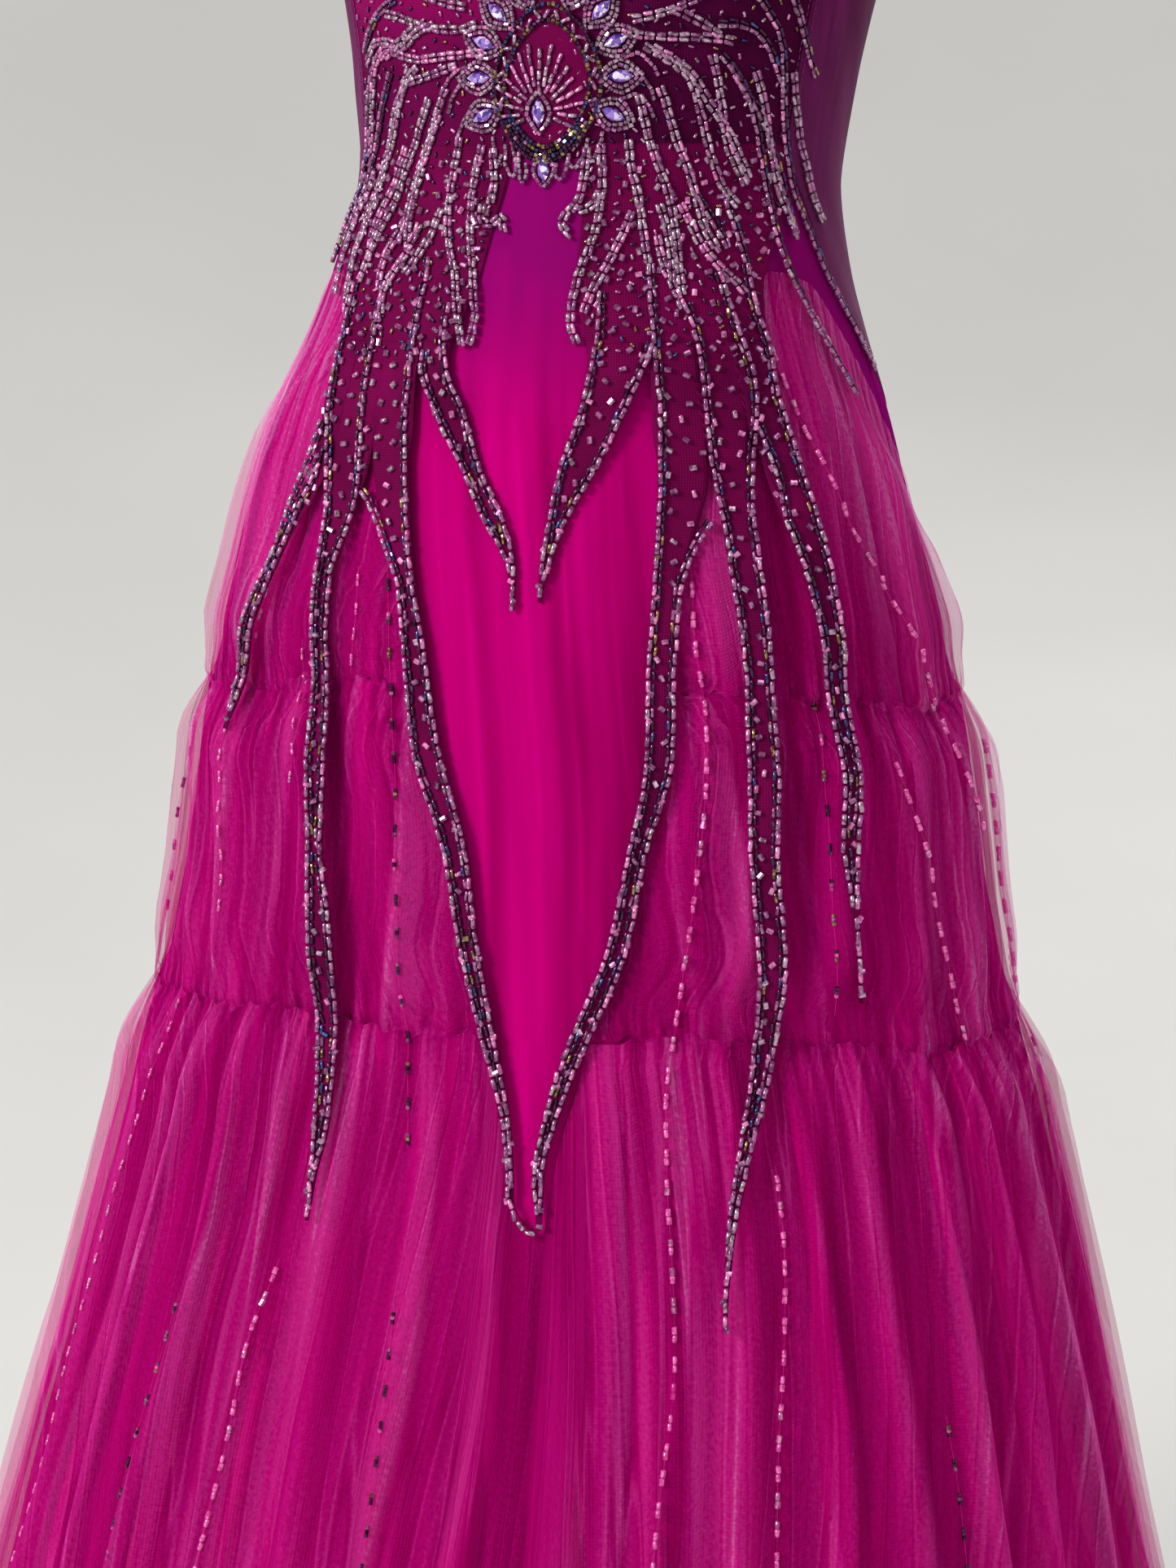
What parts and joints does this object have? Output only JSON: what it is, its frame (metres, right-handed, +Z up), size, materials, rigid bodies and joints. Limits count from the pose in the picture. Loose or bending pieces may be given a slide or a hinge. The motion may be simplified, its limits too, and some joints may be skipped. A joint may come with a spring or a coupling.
{
  "type": "evening dress",
  "caption": "Strapless floor-length evening dress, filled out as worn: beaded fitted bodice, flared satin underskirt, gathered net tiers open at a front V, beaded mesh leaves and a back zip.",
  "frame": {"origin": "inside the waist, on the axis of the bodice, at the height of the natural waist", "axes": "+Z up, the front faces -Y, +X to the right as one looks at the front"},
  "size_m": [0.8419, 0.7324, 1.2879],
  "materials": {
    "satin": "soft magenta satin",
    "side_satin": "plum satin under fine mesh",
    "bodice_mesh": "dark plum mesh over satin, beaded",
    "net": "see-through magenta net",
    "wine_mesh": "wine mesh with beads",
    "beads": "lilac and dark glass beads",
    "stone": "faceted lavender glass",
    "zip_tape": "woven tape with a fine coil",
    "zip_metal": "plum-tinted metal"
  },
  "bodies": {
    "dress": {"bodice_back_left": "side_satin", "bodice_back_right": "side_satin", "bodice_front": "bodice_mesh", "bodice_side_left": "side_satin", "bodice_side_right": "side_satin", "hip_yoke_left": "wine_mesh", "hip_yoke_right": "wine_mesh", "leaf_left_1": "wine_mesh", "leaf_left_2": "wine_mesh", "leaf_left_3": "wine_mesh", "leaf_left_4": "wine_mesh", "leaf_right_1": "wine_mesh", "leaf_right_2": "wine_mesh", "leaf_right_3": "wine_mesh", "leaf_right_4": "wine_mesh", "net_tier_1_left": "net", "net_tier_1_right": "net", "net_tier_2_left": "net", "net_tier_2_right": "net", "net_tier_3_back": "net", "net_tier_3_front": "net", "stone_01": "stone", "stone_02": "stone", "stone_03": "stone", "stone_04": "stone", "stone_05": "stone", "stone_06": "stone", "stone_07": "stone", "stone_08": "stone", "stone_09": "stone", "stone_10": "stone", "stone_11": "stone", "underskirt_back_left": "satin", "underskirt_back_right": "satin", "underskirt_front": "satin", "waist_ornament": "beads", "zip_slider": "zip_metal", "zip_tape": "zip_tape"},
    "pull_tab": {"zip_pull_tab": "zip_metal"}
  },
  "joints": [
    {"name": "pull_tab_swing", "type": "hinge", "parent": "dress", "child": "pull_tab", "pos_m": [0.0174, 0.1055, 0.14159], "axis": [0.9997, -0.0232, 0], "range_deg": [-4, 165]}
  ]
}
